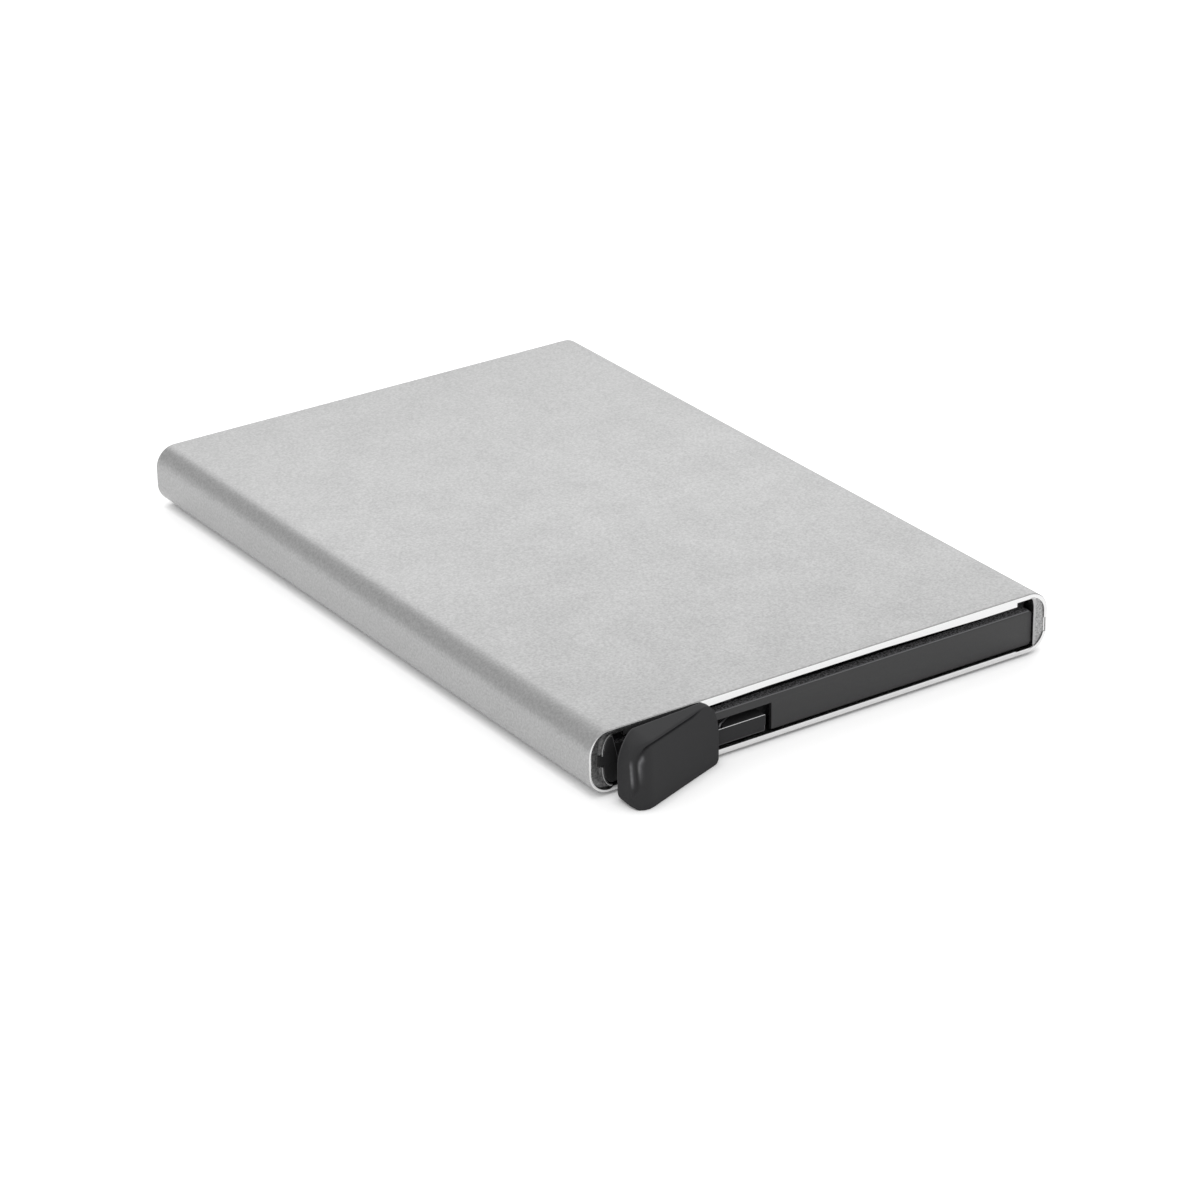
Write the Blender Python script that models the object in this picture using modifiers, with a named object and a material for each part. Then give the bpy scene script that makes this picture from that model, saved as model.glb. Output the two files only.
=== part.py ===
"""Pop-up metal card holder: an extruded aluminium sleeve with a black moulded base insert.

A thumb lever at one corner of the base turns on a steel pin.  Its stepped arm swings up
inside the sleeve and lifts the cards out in a fan.  A torsion spring brings it back.

Frame: X runs across the sleeve, Y along it with the card mouth at +Y and the lever at -Y,
Z is up.  The origin is the middle of the sleeve's flat underside.
"""

import math

import bmesh
import bpy
from mathutils import Matrix, Vector

MM = 0.001
HALF_TURN = math.pi
QUARTER_TURN = HALF_TURN / 2

# Cards that the sleeve takes, standing on the base insert
card_length = 85.6 * MM
card_width = 54.0 * MM
mouth_margin = 0.3 * MM

# Sleeve: one aluminium extrusion, open at both ends
side_channel_width = 4.5 * MM
base_depth = 9.1 * MM
sleeve_height = 7.4 * MM
sleeve_corner = 2.65 * MM
side_wall = 0.7 * MM
top_wall = 0.82 * MM
top_land_wall = 1.1 * MM
bottom_wall = 0.7 * MM
edge_wall = 0.6 * MM
land_flat_width = 5.0 * MM
land_ramp_width = 14.0 * MM
groove_height = 1.6 * MM
groove_depth = 0.28 * MM

# Clearances between the pieces
slide_gap = 0.2 * MM
pin_gap = 0.15 * MM
cut_overrun = 0.5 * MM
join_overlap = 0.2 * MM

# Base frame: front plate with the lever's window, side blocks and a thin deck
plate_setback = 0.25 * MM
plate_thickness = 1.35 * MM
plate_top = 5.25 * MM
plate_side_gap = 1.4 * MM
plate_chamfer = 0.4 * MM
plate_left_radii = (1.2 * MM, 1.9 * MM)
window_inset = 8.4 * MM
window_width = 13.75 * MM
window_top = 4.23 * MM
block_top = 6.1 * MM
left_block_width = 7.6 * MM
right_block_width = 4.9 * MM
block_side_step = 0.3 * MM
deck_thickness = 0.5 * MM
deck_top = 6.0 * MM
deck_setback = 0.3 * MM
ledge_step = 0.3 * MM
tongue_height = 1.1 * MM
tongue_length = 4.5 * MM
tongue_back = 1.1 * MM

# Base cover: thin plate under the lever, pegged up into the side blocks
cover_thickness = 0.5 * MM
cover_side_step = 0.8 * MM
peg_radius = 0.8 * MM
peg_height = 1.2 * MM
peg_bottom_room = 0.3 * MM
peg_front_inset = 2.0 * MM
peg_back_inset = 2.2 * MM

# Pivot of the lever, placed from the window that the lever swings in
pivot_from_window = 3.75 * MM
pivot_behind_plate = 2.5 * MM
pin_radius = 0.8 * MM
pin_end_inset = 0.05 * MM

# Trigger lever: thumb head, neck, hub and a stepped arm, moulded in one
neck_right_gap = 0.75 * MM
neck_left_gap = 0.4 * MM
neck_head_room = 1.23 * MM
neck_front_step = 0.05 * MM
neck_floor_gap = 0.25 * MM
lip_thickness = 0.6 * MM
hub_radius = 2.9 * MM
arm_root = 2.2 * MM
arm_end_gap = 0.9 * MM
arm_step = 4.4 * MM
arm_count = 5
arm_tip_radius = 1.8 * MM
arm_card_gap = 0.6 * MM
arm_plate_gap = 0.3 * MM
arm_draft = 0.06 * MM

# Thumb head, outside the sleeve's end and a little thicker than the sleeve
head_gap = 0.45 * MM
head_back_slant = math.radians(3.9)
head_top_proud = 0.3 * MM
head_foot_proud = 0.3 * MM
head_left_inset = 2.52 * MM
head_over_window = 5.87 * MM
head_shoulder_width = 2.43 * MM
head_shoulder_height = 3.93 * MM
head_shoulder_pull_shares = (0.4, 0.51)
head_foot_radius = 0.97 * MM
head_top_right_radii = (2.9 * MM, 4.37 * MM)
head_foot_right_radius = 0.7 * MM
head_reach = 3.39 * MM
head_slant = math.radians(20.0)
head_front_corner = 1.7 * MM
head_back_corner = 0.6 * MM
head_edge_round = 0.3 * MM
neck_root_inset = 0.5 * MM
neck_root_depth = 0.3 * MM

# Return spring: steel wire round the pin
wire_radius = 0.175 * MM
coil_radius = 1.45 * MM
coil_pitch = 0.76 * MM
coil_full_turns = 2
coil_floor_gap = 0.15 * MM
hook_offset = (-2.9 * MM, -3.3 * MM)
hook_depth = 0.9 * MM
hook_bend = 0.3 * MM
hook_hole_radius = 0.45 * MM
tail_offset = (-6.0 * MM, 2.6 * MM)
post_radius = 0.5 * MM
post_offset = 4.6 * MM
post_wire_gap = 0.12 * MM
post_foot_gap = 0.3 * MM

# Side rails with felt, one in each side channel of the sleeve
rail_inset = 1.0 * MM
rail_wall_gap = 0.3 * MM
rail_foot_gap = 0.6 * MM
rail_chamfer = 1.0 * MM
rail_rib_height = 1.0 * MM
rail_rib_gap = 0.18 * MM
rail_base_gap = 0.3 * MM
rail_mouth_gap = 0.8 * MM
felt_height = 3.4 * MM
felt_end_inset = 1.2 * MM
felt_rail_gap = 0.2 * MM

# Facet counts
corner_steps = 8
small_corner_steps = 4
shoulder_steps = 8
tip_steps = 8
relief_steps = 16
round_sides = 32
small_round_sides = 20
coil_points_per_turn = 10
wire_bevel_resolution = 1

# Places that follow from the sizes above
sleeve_width = card_width + 2 * side_channel_width
sleeve_length = base_depth + card_length + mouth_margin
front_end = -sleeve_length / 2
mouth_end = sleeve_length / 2
land_edge = card_width / 2
land_ramp_end = land_edge - land_flat_width
land_ramp_start = land_ramp_end - land_ramp_width
inner_side = sleeve_width / 2 - side_wall
middle_height = sleeve_height / 2
plate_front = front_end + plate_setback
plate_back = plate_front + plate_thickness
plate_side = inner_side - plate_side_gap
insert_bottom = bottom_wall + slide_gap
cover_top = insert_bottom + cover_thickness
block_bottom = cover_top + slide_gap
block_side = plate_side - block_side_step
left_block_inner = left_block_width - block_side
right_block_inner = block_side - right_block_width
deck_bottom = deck_top - deck_thickness
card_ledge = mouth_end - mouth_margin - card_length
deck_back = card_ledge - ledge_step
window_left = window_inset - plate_side
window_right = window_left + window_width
pivot_x = window_right - pivot_from_window
pivot_y = plate_back + pivot_behind_plate
lever_bottom = cover_top + slide_gap
lever_top = deck_bottom - slide_gap
neck_top = window_top - neck_head_room
neck_bottom = bottom_wall + neck_floor_gap
neck_front = plate_front + neck_front_step
neck_right = window_right - neck_right_gap
neck_left = window_left + neck_left_gap
neck_corner_reach = math.hypot(neck_right - pivot_x, neck_front - pivot_y)
swing_radius = neck_corner_reach + slide_gap
tongue_radius = pivot_y - neck_front - lip_thickness - slide_gap
head_back = front_end - head_gap
head_left = head_left_inset - sleeve_width / 2
head_right = window_left + head_over_window
arm_tip = right_block_inner - arm_end_gap - arm_tip_radius
head_bottom = -head_foot_proud
head_top = sleeve_height + head_top_proud


def set_up_collections():
    """Empties the scene and makes one collection for the pieces and one for cutting bodies."""
    for item in list(bpy.data.objects):
        bpy.data.objects.remove(item, do_unlink=True)
    made = []
    for name in ("card_holder", "shaping_bodies"):
        collection = bpy.data.collections.new(name)
        bpy.context.scene.collection.children.link(collection)
        made.append(collection)
    return made


pieces, shaping = set_up_collections()
root = bpy.data.objects.new("card_holder_root", None)
pieces.objects.link(root)


def material(name, colour, roughness, metallic=0.0):
    """A Principled material with a plain colour."""
    made = bpy.data.materials.new(name)
    made.use_nodes = True
    shader = made.node_tree.nodes["Principled BSDF"]
    shader.inputs["Base Color"].default_value = (*colour, 1.0)
    shader.inputs["Roughness"].default_value = roughness
    shader.inputs["Metallic"].default_value = metallic
    return made


def keep(body, name, surface):
    """Makes a body a piece of the object, under its own name and material."""
    shaping.objects.unlink(body)
    pieces.objects.link(body)
    body.name = name
    body.hide_render = False
    body.display_type = "TEXTURED"
    body.parent = root
    body.data.materials.clear()
    body.data.materials.append(surface)
    return body


def add_body(name, mesh_data):
    """Puts a mesh in the shaping collection, as a body that cuts or joins others."""
    body = bpy.data.objects.new(name, mesh_data)
    shaping.objects.link(body)
    body.hide_render = True
    body.display_type = "WIRE"
    return body


def mesh_from(name, build):
    """A closed mesh from a function that fills a bmesh, with its faces pointing out."""
    work = bmesh.new()
    build(work)
    bmesh.ops.recalc_face_normals(work, faces=work.faces)
    data = bpy.data.meshes.new(name)
    work.to_mesh(data)
    work.free()
    return data


def box(name, low, high):
    """A block between two corners."""
    size = [b - a for a, b in zip(low, high)]
    middle = [(a + b) / 2 for a, b in zip(low, high)]
    place = Matrix.Translation(middle) @ Matrix.Diagonal((*size, 1))
    return add_body(name, mesh_from(name, lambda work: bmesh.ops.create_cube(work, size=1, matrix=place)))


def rod(name, centre, radius, bottom, top, sides=round_sides):
    """An upright round bar."""
    place = Matrix.Translation((centre[0], centre[1], (bottom + top) / 2))

    def build(work):
        bmesh.ops.create_cone(
            work,
            cap_ends=True,
            segments=sides,
            radius1=radius,
            radius2=radius,
            depth=top - bottom,
            matrix=place,
        )

    body = add_body(name, mesh_from(name, build))
    body.data.shade_smooth()
    body.data.set_sharp_from_angle(angle=QUARTER_TURN / 2)
    return body


def mesh_from_curve(name, curve, place):
    """Turns a filled curve into a closed mesh body and removes the curve."""
    drawn = bpy.data.objects.new(name + "_curve", curve)
    shaping.objects.link(drawn)
    drawn.matrix_world = place
    bpy.context.view_layer.update()
    evaluated = drawn.evaluated_get(bpy.context.evaluated_depsgraph_get())
    data = bpy.data.meshes.new_from_object(evaluated)
    data.transform(place)
    bpy.data.objects.remove(drawn, do_unlink=True)
    work = bmesh.new()
    work.from_mesh(data)
    bmesh.ops.remove_doubles(work, verts=work.verts, dist=MM / 1000)
    bmesh.ops.recalc_face_normals(work, faces=work.faces)
    work.to_mesh(data)
    work.free()
    return add_body(name, data)


def filled_outline(name, outlines, thickness):
    """A flat 2D curve through closed outlines, filled and given a thickness."""
    curve = bpy.data.curves.new(name, "CURVE")
    curve.dimensions = "2D"
    curve.fill_mode = "BOTH"
    curve.extrude = thickness / 2
    for outline in outlines:
        spline = curve.splines.new("POLY")
        spline.points.add(len(outline) - 1)
        for point, (across, along) in zip(spline.points, outline):
            point.co = (across, along, 0, 1)
        spline.use_cyclic_u = True
    return curve


def flat_plate(name, outline, bottom, top):
    """A plate with its outline drawn in plan."""
    place = Matrix.Translation((0, 0, (bottom + top) / 2))
    return mesh_from_curve(name, filled_outline(name, [outline], top - bottom), place)


def extrusion(name, outlines, start, end):
    """A bar along Y with its outlines drawn across it, in X and Z."""
    place = Matrix.Translation((0, (start + end) / 2, 0)) @ Matrix.Rotation(QUARTER_TURN, 4, "X")
    return mesh_from_curve(name, filled_outline(name, outlines, end - start), place)


def combine(target, other, operation):
    """Joins another body to the target, or cuts it away."""
    modifier = target.modifiers.new(other.name, "BOOLEAN")
    modifier.operation = operation
    modifier.solver = "EXACT"
    modifier.object = other


def join(target, other):
    combine(target, other, "UNION")


def cut(target, other):
    combine(target, other, "DIFFERENCE")


def arc(centre, radii, start, end, steps):
    """Points along an arc of an ellipse, both ends included."""
    points = []
    for step in range(steps + 1):
        angle = start + (end - start) * step / steps
        across = centre[0] + radii[0] * math.cos(angle)
        along = centre[1] + radii[1] * math.sin(angle)
        points.append((across, along))
    return points


def mirrored(half):
    """Closes an outline drawn on the +X side with its mirror image."""
    return half + [(-across, along) for across, along in reversed(half)]


def set_origin(body, place):
    """Moves a body's origin without moving its surface."""
    body.data.transform(Matrix.Translation([-value for value in place]))
    body.location = place


# Sleeve


def sleeve_outer_outline():
    side = sleeve_width / 2 - sleeve_corner
    radii = (sleeve_corner, sleeve_corner)
    lower = arc((side, sleeve_corner), radii, -QUARTER_TURN, 0, corner_steps)
    upper = arc((side, sleeve_height - sleeve_corner), radii, 0, QUARTER_TURN, corner_steps)
    return mirrored(lower + upper)


def sleeve_inner_outline():
    """Thin side channels, lands that thicken towards them, and a groove in each side wall."""
    side = sleeve_width / 2 - sleeve_corner
    radii = (sleeve_corner - side_wall, sleeve_corner - edge_wall)
    top = sleeve_height
    groove_side = inner_side + groove_depth
    groove_low = middle_height - groove_height / 2
    groove_high = middle_height + groove_height / 2
    half = [(land_edge, bottom_wall), (land_edge, edge_wall)]
    half += arc((side, sleeve_corner), radii, -QUARTER_TURN, 0, corner_steps)
    half += [(inner_side, groove_low), (groove_side, groove_low)]
    half += [(groove_side, groove_high), (inner_side, groove_high)]
    half += arc((side, top - sleeve_corner), radii, 0, QUARTER_TURN, corner_steps)
    half += [(land_edge, top - edge_wall), (land_edge, top - top_land_wall)]
    half += [(land_ramp_end, top - top_land_wall), (land_ramp_start, top - top_wall)]
    return mirrored(half)


def make_sleeve():
    aluminium = material("anodised_aluminium", (0.58, 0.58, 0.58), 0.45, 1.0)
    outlines = [sleeve_outer_outline(), sleeve_inner_outline()]
    body = extrusion("sleeve_profile", outlines, front_end, mouth_end)
    keep(body, "sleeve", aluminium)
    body.data.shade_smooth()
    body.data.set_sharp_from_angle(angle=QUARTER_TURN / 3)


# Base frame


def front_plate_outline():
    """The plate's face: well rounded at the lever's end, with small chamfers at the other."""
    across, up = plate_left_radii
    left = across - plate_side
    right = plate_side - plate_chamfer
    lower = arc((left, insert_bottom + up), plate_left_radii, HALF_TURN, HALF_TURN + QUARTER_TURN, corner_steps)
    upper = arc((left, plate_top - up), plate_left_radii, QUARTER_TURN, HALF_TURN, corner_steps)
    corners = [(right, insert_bottom), (plate_side, insert_bottom + plate_chamfer)]
    corners += [(plate_side, plate_top - plate_chamfer), (right, plate_top)]
    return lower + corners + upper


def peg_places():
    """Two pegs in each side block, front and back."""
    left = (left_block_inner - block_side) / 2
    right = (right_block_inner + block_side) / 2
    front = plate_back + peg_front_inset
    back = card_ledge - peg_back_inset
    return [(x, y) for x in (left, right) for y in (front, back)]


def make_side_blocks(frame):
    """Blocks that the cards stand on, each with a tongue in the sleeve's side groove."""
    front = plate_back - join_overlap
    left = box("left_block", (-block_side, front, block_bottom), (left_block_inner, card_ledge, block_top))
    right = box("right_block", (right_block_inner, front, block_bottom), (block_side, card_ledge, block_top))
    for block in (left, right):
        join(frame, block)
    tongue_front = card_ledge - tongue_back - tongue_length
    tongue_tip = inner_side + groove_depth - slide_gap
    low, high = middle_height - tongue_height / 2, middle_height + tongue_height / 2
    for name, side in (("left_tongue", -1), ("right_tongue", 1)):
        ends = sorted((side * (block_side - join_overlap), side * tongue_tip))
        corner = (ends[1], card_ledge - tongue_back, high)
        join(frame, box(name, (ends[0], tongue_front, low), corner))


def make_base_frame():
    plastic = material("black_moulded_plastic", (0.035, 0.035, 0.036), 0.5)
    frame = extrusion("front_plate", [front_plate_outline()], plate_front, plate_back)
    low = insert_bottom - cut_overrun
    window_start = (window_left, plate_front - cut_overrun, low)
    window_end = (window_right, plate_back + cut_overrun, window_top)
    cut(frame, box("window", window_start, window_end))
    cut(frame, rod("swing_relief", (pivot_x, pivot_y), swing_radius, low, window_top, relief_steps * 4))
    make_side_blocks(frame)
    deck_low = (-block_side + join_overlap, plate_back + deck_setback, deck_bottom)
    deck_high = (block_side - join_overlap, deck_back, deck_top)
    join(frame, box("deck", deck_low, deck_high))
    post_place, post_foot = spring_post()
    post_top = deck_bottom + join_overlap
    join(frame, rod("spring_post", post_place, post_radius, post_foot, post_top, small_round_sides))
    hole_low, hole_high = deck_bottom - cut_overrun, deck_top + cut_overrun
    cut(frame, rod("frame_pin_hole", (pivot_x, pivot_y), pin_radius + pin_gap, hole_low, hole_high))
    for number, place in enumerate(peg_places(), 1):
        socket_low = block_bottom - cut_overrun
        socket_high = cover_top + peg_height + peg_bottom_room
        radius = peg_radius + pin_gap
        cut(frame, rod(f"peg_socket_{number}", place, radius, socket_low, socket_high, small_round_sides))
    keep(frame, "base_frame", plastic)


# Base cover


def make_base_cover():
    plastic = material("black_cover_plastic", (0.04, 0.04, 0.04), 0.55)
    side = block_side - cover_side_step
    front = plate_back + slide_gap
    cover = box("cover_plate", (-side, front, insert_bottom), (side, deck_back, cover_top))
    swing = arc((pivot_x, pivot_y), (swing_radius, swing_radius), -HALF_TURN, 0, relief_steps)
    cut(cover, flat_plate("swing_notch", swing, insert_bottom - cut_overrun, cover_top + cut_overrun))
    join(cover, rod("pin_tongue", (pivot_x, pivot_y), tongue_radius, insert_bottom, cover_top))
    hole_low, hole_high = insert_bottom - cut_overrun, cover_top + cut_overrun
    cut(cover, rod("cover_pin_hole", (pivot_x, pivot_y), pin_radius + pin_gap, hole_low, hole_high))
    for number, place in enumerate(peg_places(), 1):
        peg_low = cover_top - join_overlap
        peg_high = cover_top + peg_height
        join(cover, rod(f"peg_{number}", place, peg_radius, peg_low, peg_high, small_round_sides))
    keep(cover, "base_cover", plastic)


# Trigger lever


def thumb_head_profile():
    """The head seen along the sleeve: a large soft shoulder at the outer side."""
    shoulder_end = (head_left, head_top - head_shoulder_height)
    shoulder_start = (head_left + head_shoulder_width, head_top)
    across, up = head_shoulder_pull_shares
    first_pull = (shoulder_start[0] - across * head_shoulder_width, head_top)
    second_pull = (head_left, shoulder_end[1] + up * head_shoulder_height)
    profile = []
    for step in range(shoulder_steps + 1):
        t = step / shoulder_steps
        weights = ((1 - t) ** 3, 3 * t * (1 - t) ** 2, 3 * t**2 * (1 - t), t**3)
        points = (shoulder_start, first_pull, second_pull, shoulder_end)
        profile.append(tuple(sum(w * p[axis] for w, p in zip(weights, points)) for axis in range(2)))
    foot = (head_foot_radius, head_foot_radius)
    foot_centre = (head_left + head_foot_radius, head_bottom + head_foot_radius)
    profile += arc(foot_centre, foot, HALF_TURN, HALF_TURN + QUARTER_TURN, small_corner_steps)
    low = (head_foot_right_radius, head_foot_right_radius)
    low_centre = (head_right - head_foot_right_radius, head_bottom + head_foot_right_radius)
    profile += arc(low_centre, low, -QUARTER_TURN, 0, small_corner_steps)
    high = head_top_right_radii
    high_centre = (head_right - high[0], head_top - high[1])
    profile += arc(high_centre, high, 0, QUARTER_TURN, corner_steps)
    return profile


def rounded_corner(before, corner, after, radius, steps):
    """Points of an arc that rounds a corner between two straight edges."""
    corner = Vector(corner)
    to_before = (Vector(before) - corner).normalized()
    to_after = (Vector(after) - corner).normalized()
    half = to_before.angle(to_after) / 2
    centre = corner + (to_before + to_after).normalized() * radius / math.sin(half)
    reach = radius / math.tan(half)
    start = corner + to_before * reach - centre
    turn = start.angle_signed(corner + to_after * reach - centre)
    points = []
    for step in range(steps + 1):
        point = centre + Matrix.Rotation(-turn * step / steps, 2) @ start
        points.append((point.x, point.y))
    return points


def back_of_head(across):
    """The head's back leans away from the sleeve's end towards its free side."""
    return head_back + math.tan(head_back_slant) * (across - head_right)


def thumb_head_plan():
    """The head seen from above: its front slants back towards the pivot, and its back a little."""
    slope = math.tan(head_slant)
    back_slope = math.tan(head_back_slant)
    half_width = (head_right - head_left) / 2
    front_middle = front_end - head_reach
    overrun = head_reach
    back_left = (head_left, back_of_head(head_left))
    front_left = (head_left, front_middle - slope * half_width)
    front_right = (head_right + overrun, front_middle + slope * (half_width + overrun))
    back_right = (head_right + overrun, back_of_head(head_right + overrun))
    plan = rounded_corner(back_right, back_left, front_left, head_back_corner, small_corner_steps)
    plan += rounded_corner(back_left, front_left, front_right, head_front_corner, corner_steps)
    if front_right[1] < back_right[1]:
        plan.append(front_right)
        plan.append(back_right)
    else:
        front_at_right = front_middle + slope * half_width
        meet = head_right + (head_back - front_at_right) / (slope - back_slope)
        plan.append((meet, back_of_head(meet)))
    return plan


def make_thumb_head():
    """The head is where its profile along the sleeve and its plan from above meet."""
    depth = 3 * head_reach
    head = extrusion("thumb_head", [thumb_head_profile()], head_back - depth, head_back + cut_overrun)
    low, high = head_bottom - cut_overrun, head_top + cut_overrun
    combine(head, flat_plate("head_plan", thumb_head_plan(), low, high), "INTERSECT")
    bevel = head.modifiers.new("edge_round", "BEVEL")
    bevel.width = head_edge_round
    bevel.segments = 2
    bevel.limit_method = "ANGLE"
    bevel.angle_limit = QUARTER_TURN / 2
    return head


def neck_outline():
    root_x = head_right - neck_root_inset
    return [
        (neck_right, neck_front),
        (neck_right, pivot_y),
        (pivot_x, pivot_y + hub_radius / 3),
        (pivot_x - hub_radius, pivot_y + hub_radius / 4),
        (neck_left, neck_front + lip_thickness),
        (neck_left, back_of_head(neck_left) - neck_root_depth),
        (root_x, back_of_head(root_x) - neck_root_depth),
        (root_x, neck_front),
    ]


def arm_outline(number):
    """One step of the arm, with a round tip and a straight edge towards the cards."""
    back = card_ledge - arm_card_gap - number * arm_draft
    front = plate_back + arm_plate_gap + number * arm_draft
    root_x = pivot_x + arm_root + number * arm_draft
    tip_x = arm_tip - number * arm_step
    radii = (arm_tip_radius, arm_tip_radius)
    tip = arc((tip_x, back - arm_tip_radius), radii, -QUARTER_TURN, QUARTER_TURN, tip_steps)
    return [(root_x, front), *tip, (root_x, back)]


def make_trigger_lever():
    plastic = material("black_glass_filled_plastic", (0.04, 0.04, 0.041), 0.42)
    lever = rod("hub", (pivot_x, pivot_y), hub_radius, lever_bottom, neck_top - join_overlap / 2)
    join(lever, flat_plate("neck", neck_outline(), lever_bottom + join_overlap / 2, neck_top))
    lip_low = (neck_left, neck_front, neck_bottom)
    lip_high = (neck_right, neck_front + lip_thickness, lever_bottom + join_overlap)
    join(lever, box("neck_lip", lip_low, lip_high))
    layer = (lever_top - lever_bottom) / arm_count
    for number in range(arm_count):
        bottom = lever_bottom + number * arm_draft / arm_count
        top = lever_bottom + (number + 1) * layer
        join(lever, flat_plate(f"arm_{number + 1}", arm_outline(number), bottom, top))
    join(lever, make_thumb_head())
    bore_low, bore_high = lever_bottom - cut_overrun, neck_top + cut_overrun
    cut(lever, rod("lever_bore", (pivot_x, pivot_y), pin_radius + pin_gap, bore_low, bore_high))
    hook_place = (pivot_x + hook_offset[0], pivot_y + hook_offset[1])
    hook_low = neck_top - hook_depth - coil_floor_gap
    hook_high = neck_top + cut_overrun
    cut(lever, rod("hook_hole", hook_place, hook_hole_radius, hook_low, hook_high, small_round_sides))
    set_origin(lever, (pivot_x, pivot_y, 0))
    keep(lever, "trigger_lever", plastic)


# Pivot pin and return spring


def make_pivot_pin():
    steel = material("bright_steel", (0.6, 0.6, 0.62), 0.3, 1.0)
    low, high = insert_bottom + pin_end_inset, deck_top - pin_end_inset
    pin = rod("pin", (pivot_x, pivot_y), pin_radius, low, high)
    keep(pin, "pivot_pin", steel)


def tangent_angle(offset, side):
    """Where a straight wire from a point offset from the pivot meets the coil."""
    spread = math.acos(coil_radius / math.hypot(*offset))
    return math.atan2(offset[1], offset[0]) + side * spread


def coil_angles():
    """Start and end angles of the coil, which climbs as it turns anticlockwise."""
    start = tangent_angle(hook_offset, 1)
    end = tangent_angle(tail_offset, -1)
    while end < start:
        end += 2 * HALF_TURN
    return start, end + 2 * HALF_TURN * coil_full_turns


def coil_bottom():
    return neck_top + coil_floor_gap + wire_radius


def coil_height():
    start, end = coil_angles()
    return coil_pitch * (end - start) / (2 * HALF_TURN)


def spring_post():
    """Place and foot height of the post that holds the spring's upper tail."""
    leave = tangent_angle(tail_offset, -1)
    contact = (coil_radius * math.cos(leave), coil_radius * math.sin(leave))
    slope = (tail_offset[1] - contact[1]) / (tail_offset[0] - contact[0])
    wire_y = contact[1] + slope * (-post_offset - contact[0])
    place = (pivot_x - post_offset, pivot_y + wire_y - wire_radius - post_radius - post_wire_gap)
    return place, neck_top + post_foot_gap


def spring_points():
    """The wire from its hook in the neck, round the coil and out along the tail."""
    start, end = coil_angles()
    low = coil_bottom()
    hook_x, hook_y = pivot_x + hook_offset[0], pivot_y + hook_offset[1]
    towards = (math.cos(start + QUARTER_TURN), math.sin(start + QUARTER_TURN))
    points = [(hook_x, hook_y, neck_top - hook_depth)]
    points.append((hook_x, hook_y, low - hook_bend))
    points.append((hook_x + hook_bend * towards[0], hook_y + hook_bend * towards[1], low))
    count = math.ceil((end - start) / (2 * HALF_TURN) * coil_points_per_turn)
    for step in range(count + 1):
        share = step / count
        angle = start + (end - start) * share
        x = pivot_x + coil_radius * math.cos(angle)
        y = pivot_y + coil_radius * math.sin(angle)
        points.append((x, y, low + coil_height() * share))
    points.append((pivot_x + tail_offset[0], pivot_y + tail_offset[1], low + coil_height()))
    return points


def least_self_gap(points):
    """Least clear distance between turns of the wire, on points half a turn or more apart."""
    apart = coil_points_per_turn // 2
    distances = [
        math.dist(first, second)
        for index, first in enumerate(points)
        for second in points[index + apart :]
    ]
    return min(distances) - 2 * wire_radius


def make_return_spring():
    steel = material("spring_steel", (0.55, 0.55, 0.56), 0.28, 1.0)
    points = spring_points()
    curve = bpy.data.curves.new("spring_wire", "CURVE")
    curve.dimensions = "3D"
    curve.bevel_depth = wire_radius
    curve.bevel_resolution = wire_bevel_resolution
    curve.use_fill_caps = True
    spline = curve.splines.new("POLY")
    spline.points.add(len(points) - 1)
    for point, place in zip(spline.points, points):
        point.co = (*place, 1)
    spring = mesh_from_curve("spring", curve, Matrix.Identity(4))
    keep(spring, "return_spring", steel)
    print("least gap between the spring's turns, mm:", round(least_self_gap(points) / MM, 3))


# Side rails and their felt


def rail_outline(side):
    """A rail's section, with a rib that runs in the sleeve's side groove."""
    inner = card_width / 2 + rail_inset
    outer = inner_side - rail_wall_gap
    low = edge_wall + rail_foot_gap
    high = sleeve_height - low
    rib_tip = inner_side + groove_depth - rail_rib_gap
    rib_low, rib_high = middle_height - rail_rib_height / 2, middle_height + rail_rib_height / 2
    outline = [
        (inner, low),
        (outer - rail_chamfer, low),
        (outer, low + rail_chamfer),
        (outer, rib_low),
        (rib_tip, rib_low),
        (rib_tip, rib_high),
        (outer, rib_high),
        (outer, high - rail_chamfer),
        (outer - rail_chamfer, high),
        (inner, high),
    ]
    return [(side * across, along) for across, along in outline]


def make_side_rails():
    plastic = material("black_rail_plastic", (0.03, 0.03, 0.03), 0.6)
    felt = material("black_felt", (0.02, 0.02, 0.022), 0.95)
    start = card_ledge + rail_base_gap
    end = mouth_end - rail_mouth_gap
    felt_inner = card_width / 2
    felt_outer = felt_inner + rail_inset - felt_rail_gap
    felt_low, felt_high = middle_height - felt_height / 2, middle_height + felt_height / 2
    for name, side in (("left", -1), ("right", 1)):
        rail = extrusion(f"{name}_rail_bar", [rail_outline(side)], start, end)
        keep(rail, f"side_rail_{name}", plastic)
        ends = sorted((side * felt_inner, side * felt_outer))
        low = (ends[0], start + felt_end_inset, felt_low)
        high = (ends[1], end - felt_end_inset, felt_high)
        keep(box(f"{name}_felt_bar", low, high), f"felt_strip_{name}", felt)


make_sleeve()
make_base_frame()
make_base_cover()
make_trigger_lever()
make_pivot_pin()
make_return_spring()
make_side_rails()
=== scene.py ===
"""Looks of a slim aluminium card holder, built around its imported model.

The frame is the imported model's own: X across the sleeve, Y along it with the card mouth at +Y
and the thumb lever at -Y, Z up, and the origin in the middle of the sleeve's underside.
"""

import math

import bmesh
import bpy
from mathutils import Matrix, Vector, kdtree, noise


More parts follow.
